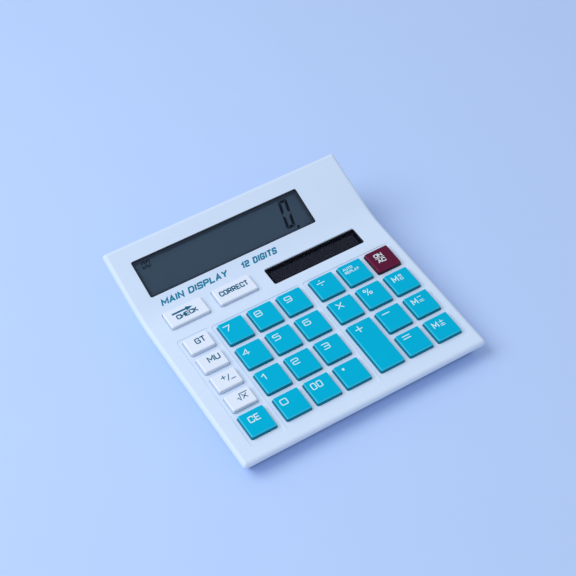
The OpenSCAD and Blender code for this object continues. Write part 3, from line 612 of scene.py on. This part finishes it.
KEY_NODES = [name for name in frame["nodes"] if name.startswith("key_")]
key_boxes = {}
for key_name in KEY_NODES:
    low_corner, high_corner = node_box(key_name, DECK)
    lip_out = Vector((KEY_FLANGE, KEY_FLANGE, 0))
    key_boxes[key_name] = (low_corner + lip_out, high_corner - lip_out)


def well_over(*names):
    """The well round a group of keys."""
    low = [min(key_boxes[n][0][i] for n in names) - (WELL_MARGIN, WELL_FRONT)[i] for i in range(2)]
    high = [max(key_boxes[n][1][i] for n in names) + WELL_MARGIN for i in range(2)]
    return Shape().box(low, high, WELL_R, lip(WELL_DEPTH)), DECK


def make_top_case():
    def outline(inset):
        low = (-CASE_W / 2, FRONT_Y)
        high = (CASE_W / 2, flat_back)
        radii = [FRONT_CORNER_R, FRONT_CORNER_R, BACK_CORNER_R, BACK_CORNER_R]
        return rounded_outline(low, high, radii, inset)

    under = arc_levels(UNDER_R, UNDER_R - EDGE_H, UNDER_R, -90, 0, 4)
    upper = arc_levels(RIM_R, -RIM_R, RIM_R, 0, 90)
    levels = [(RIM_WALL, -PLATE_T), (RIM_WALL, -EDGE_H), *under, *upper]
    slab = bend_mesh(Shape().stack(outline, levels))

    wells = [
        well_over("key_grand_total", "key_clear_entry"),
        well_over("key_7", "key_decimal"),
        well_over("key_divide", "key_memory_plus"),
    ]
    holes = []
    for low, high in key_boxes.values():
        grown_low = [low.x - HOLE_CLEAR, low.y - HOLE_CLEAR]
        grown_high = [high.x + HOLE_CLEAR, high.y + HOLE_CLEAR]
        through = [(0, CUT_FOOT), (0, CUT_TOP)]
        holes.append((Shape().box(grown_low, grown_high, KEY_CORNER, through), DECK))
    recesses = []
    openings = []
    for node, place in (("display_window", DISPLAY), ("solar_window", DECK)):
        low, high = node_box(node, place)
        low = [value - LENS_FIT for value in low]
        high = [value + LENS_FIT for value in high]
        recesses.append((Shape().box(low, high, LENS_R, lip(LENS_SINK + LENS_T)), place))
        levels = [(LENS_LEDGE, CUT_FOOT), (LENS_LEDGE, -LENS_SINK)]
        openings.append((Shape().box(low, high, LENS_R + LENS_LEDGE, levels), place))
    made = cut_all(slab, [wells, holes, recesses, openings])
    soften(made)
    piece("case_shell", made, FINISHES["case_plastic"], "case", ["top_case"])


# ---- Keys ----

def make_key(name):
    low, high = key_boxes[name]
    width = high.x - low.x
    depth = high.y - low.y
    flange_z = -PLATE_T - FLANGE_T
    top = arc_levels(KEY_TAPER + KEY_BEVEL, KEY_RISE - KEY_BEVEL, KEY_BEVEL, 8, 90, 5)
    levels = [
        (KEY_SKIN + KEY_TAPER, flange_z + FLANGE_T), (KEY_SKIN + KEY_TAPER, flange_z),
        (-KEY_FLANGE, flange_z), (-KEY_FLANGE, -PLATE_T), (0, -PLATE_T), (0, 0), *top,
    ]
    shape = Shape().box(low, high, KEY_CORNER, levels)
    long_way = 0 if width > depth else 1
    middles = [(low + high) / 2]
    if max(width, depth) > TWO_POSTS_FROM:
        step = Vector((0, 0, 0))
        step[long_way] = max(width, depth) / 4
        middles = [middles[0] - step, middles[0] + step]
    for middle in middles:
        corner = Vector((POST_D / 2, POST_D / 2, 0))
        post = [(0, flange_z - POST_H), (0, -PLATE_T + KEY_SKIN / 2)]
        shape.box(middle - corner, middle + corner, POST_D / 2, post)
    made = shape.mesh(name, DECK)
    soften(made)
    slot = SLOT_OF[name]
    piece(name + "_cap", made, FINISHES[slot], BODY_OF[name], [name])


# ---- Lettering ----

# Each glyph is its width, the rounding of its corners and its strokes, on a cap height of 1
O_SHAPE = [(0, 0), (0.8, 0), (0.8, 1), (0, 1), (0, 0)]
GLYPHS = {
    "0": (0.8, 0.2, [O_SHAPE]),
    "1": (0.4, 0, [[(0, 0.7), (0.36, 1), (0.36, 0)]]),
    "2": (0.8, 0.2, [[(0, 0.8), (0, 1), (0.8, 1), (0.8, 0.5), (0, 0.5), (0, 0), (0.8, 0)]]),
    "3": (0.8, 0.2, [[(0, 1), (0.8, 1), (0.8, 0), (0, 0)], [(0.15, 0.5), (0.8, 0.5)]]),
    "4": (0.8, 0, [[(0.8, 0.28), (0, 0.28), (0.58, 1), (0.58, 0)]]),
    "5": (0.8, 0.2, [[(0.8, 1), (0, 1), (0, 0.58), (0.8, 0.58), (0.8, 0), (0, 0)]]),
    "6": (0.8, 0.2, [[(0.8, 1), (0, 1), (0, 0), (0.8, 0), (0.8, 0.58), (0, 0.58)]]),
    "7": (0.8, 0, [[(0, 1), (0.8, 1), (0.3, 0)]]),
    "8": (0.8, 0.2, [O_SHAPE, [(0, 0.5), (0.8, 0.5)]]),
    "9": (0.8, 0.2, [[(0, 0), (0.8, 0), (0.8, 1), (0, 1), (0, 0.42), (0.8, 0.42)]]),
    "A": (0.8, 0, [[(0, 0), (0.4, 1), (0.8, 0)], [(0.14, 0.3), (0.66, 0.3)]]),
    "C": (0.8, 0.22, [[(0.8, 0.72), (0.8, 1), (0, 1), (0, 0), (0.8, 0), (0.8, 0.28)]]),
    "D": (0.8, 0.3, [[(0, 0), (0.8, 0), (0.8, 1), (0, 1)], [(0, 0), (0, 1)]]),
    "E": (0.72, 0, [[(0.72, 1), (0, 1), (0, 0), (0.72, 0)], [(0, 0.5), (0.64, 0.5)]]),
    "G": (0.8, 0.22, [[(0.8, 0.74), (0.8, 1), (0, 1), (0, 0), (0.8, 0), (0.8, 0.48), (0.44, 0.48)]]),
    "H": (0.8, 0, [[(0, 0), (0, 1)], [(0.8, 0), (0.8, 1)], [(0, 0.5), (0.8, 0.5)]]),
    "I": (0.06, 0, [[(0.03, 0), (0.03, 1)]]),
    "K": (0.78, 0, [[(0, 0), (0, 1)], [(0.74, 1), (0, 0.42)], [(0.26, 0.62), (0.78, 0)]]),
    "L": (0.7, 0, [[(0, 1), (0, 0), (0.7, 0)]]),
    "M": (1.0, 0, [[(0, 0), (0, 1), (0.5, 0.3), (1.0, 1), (1.0, 0)]]),
    "N": (0.8, 0, [[(0, 0), (0, 1), (0.8, 0), (0.8, 1)]]),
    "O": (0.8, 0.22, [O_SHAPE]),
    "P": (0.76, 0.2, [[(0, 1), (0.76, 1), (0.76, 0.45), (0, 0.45)], [(0, 0), (0, 1)]]),
    "R": (0.8, 0.2, [
        [(0, 1), (0.78, 1), (0.78, 0.45), (0, 0.45)], [(0, 0), (0, 1)], [(0.42, 0.45), (0.8, 0)],
    ]),
    "S": (0.78, 0.2, [
        [(0.78, 0.8), (0.78, 1), (0, 1), (0, 0.5), (0.78, 0.5), (0.78, 0), (0, 0), (0, 0.2)],
    ]),
    "T": (0.8, 0, [[(0, 1), (0.8, 1)], [(0.4, 1), (0.4, 0)]]),
    "U": (0.8, 0.24, [[(0, 1), (0, 0), (0.8, 0), (0.8, 1)]]),
    "X": (0.9, 0, [[(0, 0), (0.9, 0.9)], [(0, 0.9), (0.9, 0)]]),
    "Y": (0.8, 0, [[(0, 1), (0.4, 0.5), (0.8, 1)], [(0.4, 0.5), (0.4, 0)]]),
    "+": (1.0, 0, [[(0, 0.5), (1.0, 0.5)], [(0.5, 0), (0.5, 1)]]),
    "-": (1.0, 0, [[(0, 0.5), (1.0, 0.5)]]),
    "=": (1.0, 0, [[(0, 0.28), (1.0, 0.28)], [(0, 0.72), (1.0, 0.72)]]),
    "/": (0.5, 0, [[(0, 0), (0.5, 1)]]),
    ".": (0.1, 0, [[(0, 0.05), (0.12, 0.05)]]),
    "%": (1.0, 0.1, [
        [(0.25, 0), (0.75, 1)],
        [(0, 0.62), (0.32, 0.62), (0.32, 0.98), (0, 0.98), (0, 0.62)],
        [(0.68, 0.02), (1.0, 0.02), (1.0, 0.38), (0.68, 0.38), (0.68, 0.02)],
    ]),
    ":": (1.0, 0, [[(0, 0.5), (1.0, 0.5)], [(0.44, 0.9), (0.56, 0.9)], [(0.44, 0.1), (0.56, 0.1)]]),
    "v": (1.9, 0, [
        [(0, 0.45), (0.2, 0.5), (0.42, 0), (0.62, 1.15), (1.9, 1.15)],
        [(0.85, 0.1), (1.6, 0.85)], [(0.85, 0.85), (1.6, 0.1)],
    ]),
    " ": (0.35, 0, []),
}


def rounded_line(points, radius):
    """A line of points with its corners rounded."""
    if radius == 0:
        return points
    closed = points[0] == points[-1]
    line = [Vector(p) for p in (points[:-1] if closed else points)]
    soft = []
    for i, corner in enumerate(line):
        if not closed and i in (0, len(line) - 1):
            soft.append(tuple(corner))
            continue
        before = line[i - 1] - corner
        after = line[(i + 1) % len(line)] - corner
        reach = min(radius, before.length * 0.5, after.length * 0.5)
        a = corner + before.normalized() * reach
        b = corner + after.normalized() * reach
        for step in range(LETTER_STEPS + 1):
            t = step / LETTER_STEPS
            soft.append(tuple(a * (1 - t) ** 2 + corner * 2 * t * (1 - t) + b * t ** 2))
    return soft + [soft[0]] if closed else soft


def text_width(text, height, stretch, gap):
    return sum(GLYPHS[c][0] * stretch * height for c in text) + gap * height * (len(text) - 1)


def write(shape, text, height, x, y, weight, stretch=1.0, gap=0.3, slant=0.0, centred=False):
    """Draws a word from its lower left corner, or about its middle."""
    if centred:
        x -= text_width(text, height, stretch, gap) / 2
        y -= height / 2
    for letter in text:
        width, radius, strokes = GLYPHS[letter]
        for stroke in strokes:
            line = rounded_line(stroke, radius)
            points = [(x + (px * stretch + py * slant) * height, y + py * height) for px, py in line]
            if stroke[0] == stroke[-1]:
                points[-1] = points[0]
            shape.strip(points, weight)
        x += (width * stretch + gap) * height


def printed(name, mesh, tone, body):
    """A thin layer of ink over a mesh whose faces are turned up."""
    obj = piece(name, mesh, INKS[tone], body, flat_normals=False)
    layer = obj.modifiers.new("ink", "SOLIDIFY")
    layer.thickness = PRINT_T * MM
    layer.offset = 1


# Legend of each key: word, cap height, place from the key's middle (x, y), weight, stretch, and whether
# that place is the word's middle or its lower left corner
LEGENDS = {
    "key_divide": [(":", 4.0, -2.1, 2.9, 0.5, 1.12, True)],
    "key_multiply": [("X", 3.7, -2.0, 3.0, 0.5, 1.0, True)],
    "key_plus": [("+", 4.0, -2.1, 11.9, 0.52, 1.0, True)],
    "key_minus": [("-", 4.2, -2.4, 4.1, 0.52, 1.0, True)],
    "key_equals": [("=", 3.9, -2.1, 3.9, 0.5, 1.12, True)],
    "key_percent": [("%", 3.9, -2.2, 2.9, 0.46, 1.0, True)],
    "key_auto_replay": [
        ("AUTO", 1.5, -5.2, 3.1, 0.3, 0.9, False), ("REPLAY", 1.5, -5.2, 0.6, 0.3, 0.9, False),
    ],
    "key_on_clear": [
        ("ON", 2.1, -1.2, 3.0, 0.5, 1.15, True), ("-", 5.4, -1.2, 1.05, 0.36, 1.0, True),
        ("AC", 2.1, -1.2, -0.9, 0.5, 1.15, True),
    ],
    "key_memory_recall": [
        ("M", 3.3, -4.3, 0.7, 0.6, 0.85, False), ("R", 1.3, -0.1, 2.7, 0.34, 1.5, False),
        ("C", 1.3, -0.1, 0.6, 0.34, 1.5, False),
    ],
    "key_memory_minus": [
        ("M", 3.3, -4.4, 0.9, 0.6, 0.85, False), ("-", 2.3, -0.2, 3.2, 0.34, 1.0, False),
        ("=", 2.3, -0.2, 0.3, 0.34, 1.0, False),
    ],
    "key_memory_plus": [
        ("M", 3.3, -4.3, 0.6, 0.6, 0.85, False), ("+", 2.2, -0.1, 1.9, 0.36, 1.05, False),
        ("=", 2.2, -0.2, -0.3, 0.36, 1.05, False),
    ],
    "key_clear_entry": [("CE", 3.4, -0.6, 2.0, 0.56, 0.9, True)],
    "key_grand_total": [("GT", 3.1, 1.2, 0.9, 0.68, 0.9, True)],
    "key_mark_up": [("MU", 3.1, 1.3, 1.1, 0.68, 0.98, True)],
    "key_sign": [("+", 2.4, -1.0, 1.5, 0.5, 1.0, True), ("/", 3.6, 1.4, 0.4, 0.5, 0.95, True),
                 ("-", 2.4, 3.5, -1.2, 0.5, 1.0, True)],
    "key_square_root": [("v", 3.4, 1.6, 0.4, 0.5, 1.0, True)],
    "key_check": [("CHECK", 2.4, -0.1, -1.0, 0.7, 0.95, True)],
    "key_correct": [("CORRECT", 2.8, -0.1, 0.6, 0.72, 0.76, True)],
    "key_00": [("00", 3.7, -4.7, 0.8, 0.5, 0.8, False)],
    "key_decimal": [(".", 4.0, -3.3, 3.5, 1.3, 1.0, False)],
}
DIGIT_STARTS = {"7": -5.3, "4": -5.3, "0": -5.0, "9": -4.2, "6": -4.2, "3": -4.1}
for digit in "0123456789":
    start = DIGIT_STARTS.get(digit, -4.7)
    LEGENDS["key_" + digit] = [(digit, 3.4, start, 0.85, 0.48, 1.32, False)]
ARROW = {"from": -7.2, "to": 0.9, "y": 2.0, "weight": 1.15, "head": 1.4, "run": 4.0}


def make_legend(name):
    low, high = key_boxes[name]
    middle = (low + high) / 2
    shape = Shape()
    for text, height, x, y, weight, stretch, centred in LEGENDS[name]:
        write(shape, text, height, x, y, weight, stretch, centred=centred)
    if name == "key_check":
        shape.strip([(ARROW["from"], ARROW["y"]), (ARROW["to"], ARROW["y"])], ARROW["weight"])
        head = [(ARROW["to"], ARROW["y"] - ARROW["head"]), (ARROW["to"] + ARROW["run"], ARROW["y"])]
        shape.polygon([*head, (ARROW["to"], ARROW["y"] + ARROW["head"])])
    place = DECK @ Matrix.Translation((middle.x, middle.y, KEY_RISE))
    made = shape.face_up().mesh(name + "_legend", place)
    slot = SLOT_OF[name]
    tone = "dark" if slot == "key_white" else "white"
    printed(name + "_legend", made, tone, BODY_OF[name])


# Words in front of the display: text, left end, stretch and gap
CASE_WORDS = [("MAIN DISPLAY", -58.4, 1.1, 0.42), ("12 DIGITS", -9.4, 0.8, 0.4)]
CASE_WORD_H = 3.0
CASE_WORD_V = 3.8        # their foot, in the display frame
CASE_WORD_WEIGHT = 0.92
CASE_WORD_LEAN = 0.28


def make_case_print():
    """Words in front of the display, where the surface is still turning out of the bend."""
    shape = Shape()
    for text, x, stretch, gap in CASE_WORDS:
        write(shape, text, CASE_WORD_H, x, CASE_WORD_V, CASE_WORD_WEIGHT, stretch, gap, CASE_WORD_LEAN)
    shape.face_up()
    past_bend = bend_start + bend_run - BEND_R * math.tan(bend / 2)
    shape.points = [tuple(on_case(x, v + past_bend, 0)) for x, v, h in shape.points]
    printed("display_words", shape.mesh("display_words", DECK), "teal", "case")


# ---- Liquid crystal digits ----

SEGMENT_GAP = 0.12       # half the gap between two segments, as a share of their weight
SEGMENT_MITRE = 0.9      # how far an upright's ends slope, as a share of its weight


def segment_zero(shape, x, y, width, height, weight, slant):
    """A seven-segment nought, its corner at x, y, leaning to the right."""
    gap = SEGMENT_GAP * weight
    mitre = SEGMENT_MITRE * weight
    half = height / 2

    def lean(px, py):
        return x + px + py * slant, y + py

    def upright(side, low, high):
        outer = 0 if side < 0 else width
        inner = outer - side * weight
        return [lean(outer, low), lean(outer, high), lean(inner, high - mitre), lean(inner, low + mitre)]

    for side in (-1, 1):
        shape.polygon(upright(side, gap, half - gap))
        shape.polygon(upright(side, half + gap, height - gap))
    for level, inward in ((0, 1), (height, -1)):
        shape.polygon([
            lean(gap * 2, level), lean(width - gap * 2, level),
            lean(width - gap * 2 - weight, level + inward * weight),
            lean(gap * 2 + weight, level + inward * weight),
        ])


# Place, width, height, weight and lean of the noughts in the display, and the point's corners
BIG_NOUGHT = (25.2, 14.0, 5.6, 17.0, 1.7, 0.22)
SMALL_NOUGHTS = [(x, 27.6, 2.2, 4.2, 0.66, 0.16) for x in (-57.2, -54.4)]
POINT = [(31.1, 12.3), (32.5, 12.3), (32.78, 13.7), (31.38, 13.7)]


def make_digits():
    shape = Shape()
    segment_zero(shape, *BIG_NOUGHT)
    shape.polygon(POINT)
    for nought in SMALL_NOUGHTS:
        segment_zero(shape, *nought)
    place = DISPLAY @ Matrix.Translation((0, 0, -PLATE_T))
    made = shape.face_up().mesh("display_digits", place)
    printed("display_digits", made, "segment", "case")


# ---- Lenses ----

def make_lens(node, place, slot, border):
    low, high = node_box(node, place)
    floor_z = -LENS_SINK - LENS_T
    top = arc_levels(LENS_SOFT, -LENS_SINK - LENS_SOFT, LENS_SOFT, 0, 90, 3)
    made = Shape().box(low, high, LENS_R, [(0, floor_z), *top]).mesh(node, place)
    soften(made)
    piece(node + "_lens", made, FINISHES[slot], "case", [node])
    seal = [(-LENS_FIT, floor_z), (0, floor_z), (0, GASKET_TOP), (-LENS_FIT, GASKET_TOP)]
    mask = [(0, floor_z), (0, floor_z + PRINT_T), (MASK_W, floor_z + PRINT_T), (MASK_W, floor_z)]
    for part, levels, material in (("_seal", seal, FINISHES["seal"]), ("_border", mask, INKS[border])):
        made = Shape().hoop(low, high, LENS_R, levels).mesh(node, place)
        soften(made)
        piece(node + part, made, material, "case")


# ---- CAD nodes that stay ----

SLOT_OF = {}
BODY_OF = {}
for entry in frame["record"]["subparts"]:
    SLOT_OF[entry["node"]] = entry["material_slot"]
for body_name, empty in frame["bodies"].items():
    for child in empty.children:
        BODY_OF[child.name] = body_name
for node_name, node_object in frame["nodes"].items():
    for material_slot in node_object.material_slots:
        material_slot.material = FINISHES[SLOT_OF[node_name]]

make_top_case()
for key_name in KEY_NODES:
    make_key(key_name)
    make_legend(key_name)
make_lens("display_window", DISPLAY, "display_lens", "slate")
make_lens("solar_window", DECK, "solar_lens", "segment")
make_case_print()
make_digits()


# ---- Floor, light and camera ----

FLOOR_SIZE = 6.0                     # metres
FLOOR_BLUE = colour(187, 211, 252)
SKY = colour(242, 247, 255)
SKY_STRENGTH = 0.6
LAMP_PLACE = (-0.75, 0.3, 1.0)       # metres, as is its size
LAMP_SIZE = 1.0
LAMP_POWER = 10.2                    # watts
LAMP_TONE = (0.94, 0.975, 1.0)


def make_floor():
    half = FLOOR_SIZE / 2
    made = bpy.data.meshes.new("floor")
    corners = [(-half, -half, 0), (half, -half, 0), (half, half, 0), (-half, half, 0)]
    made.from_pydata(corners, [], [(0, 1, 2, 3)])
    floor = bpy.data.objects.new("floor", made)
    bpy.context.scene.collection.objects.link(floor)
    paint = Paint("floor", Specular_IOR_Level=0.2)
    cloud = paint.noise(60, 4, 0.6)
    tone = paint.mix(scaled(FLOOR_BLUE, 0.98), scaled(FLOOR_BLUE, 1.01), cloud)
    paint.set(Base_Color=tone, Roughness=0.8)
    made.materials.append(paint.material)


def area_light(name, place, size, power, tone):
    data = bpy.data.lights.new(name, "AREA")
    data.shape = "SQUARE"
    data.size = size
    data.energy = power
    data.color = tone
    lamp = bpy.data.objects.new(name, data)
    lamp.location = place
    lamp.rotation_mode = "QUATERNION"
    lamp.rotation_quaternion = (-Vector(place)).to_track_quat("-Z", "Y")
    bpy.context.scene.collection.objects.link(lamp)


def make_world(strength):
    world = bpy.data.worlds.new("studio")
    world.use_nodes = True
    sky = world.node_tree.nodes["Background"]
    sky.inputs["Color"].default_value = SKY
    sky.inputs["Strength"].default_value = strength
    bpy.context.scene.world = world


CAMERA_PLACE = Vector((-262.7, -459.37, 577.27))     # millimetres
CAMERA_AIM = Vector((0.3435, 0.6047, -0.7185))
CAMERA_ROLL = -3.34                  # degrees
CAMERA_LENS = 91.2                   # millimetres, on a 36 mm sensor


def make_camera():
    data = bpy.data.cameras.new("camera")
    data.lens = CAMERA_LENS
    data.sensor_width = 36.0
    data.clip_start = 0.05
    data.clip_end = 20.0
    camera = bpy.data.objects.new("camera", data)
    camera.location = METRES @ CAMERA_PLACE
    camera.rotation_mode = "QUATERNION"
    roll = Quaternion((0, 0, 1), math.radians(CAMERA_ROLL))
    camera.rotation_quaternion = CAMERA_AIM.to_track_quat("-Z", "Y") @ roll
    bpy.context.scene.collection.objects.link(camera)
    bpy.context.scene.camera = camera


make_floor()
make_world(SKY_STRENGTH)
area_light("key_light", LAMP_PLACE, LAMP_SIZE, LAMP_POWER, LAMP_TONE)
make_camera()
bpy.context.scene.view_settings.view_transform = "Standard"
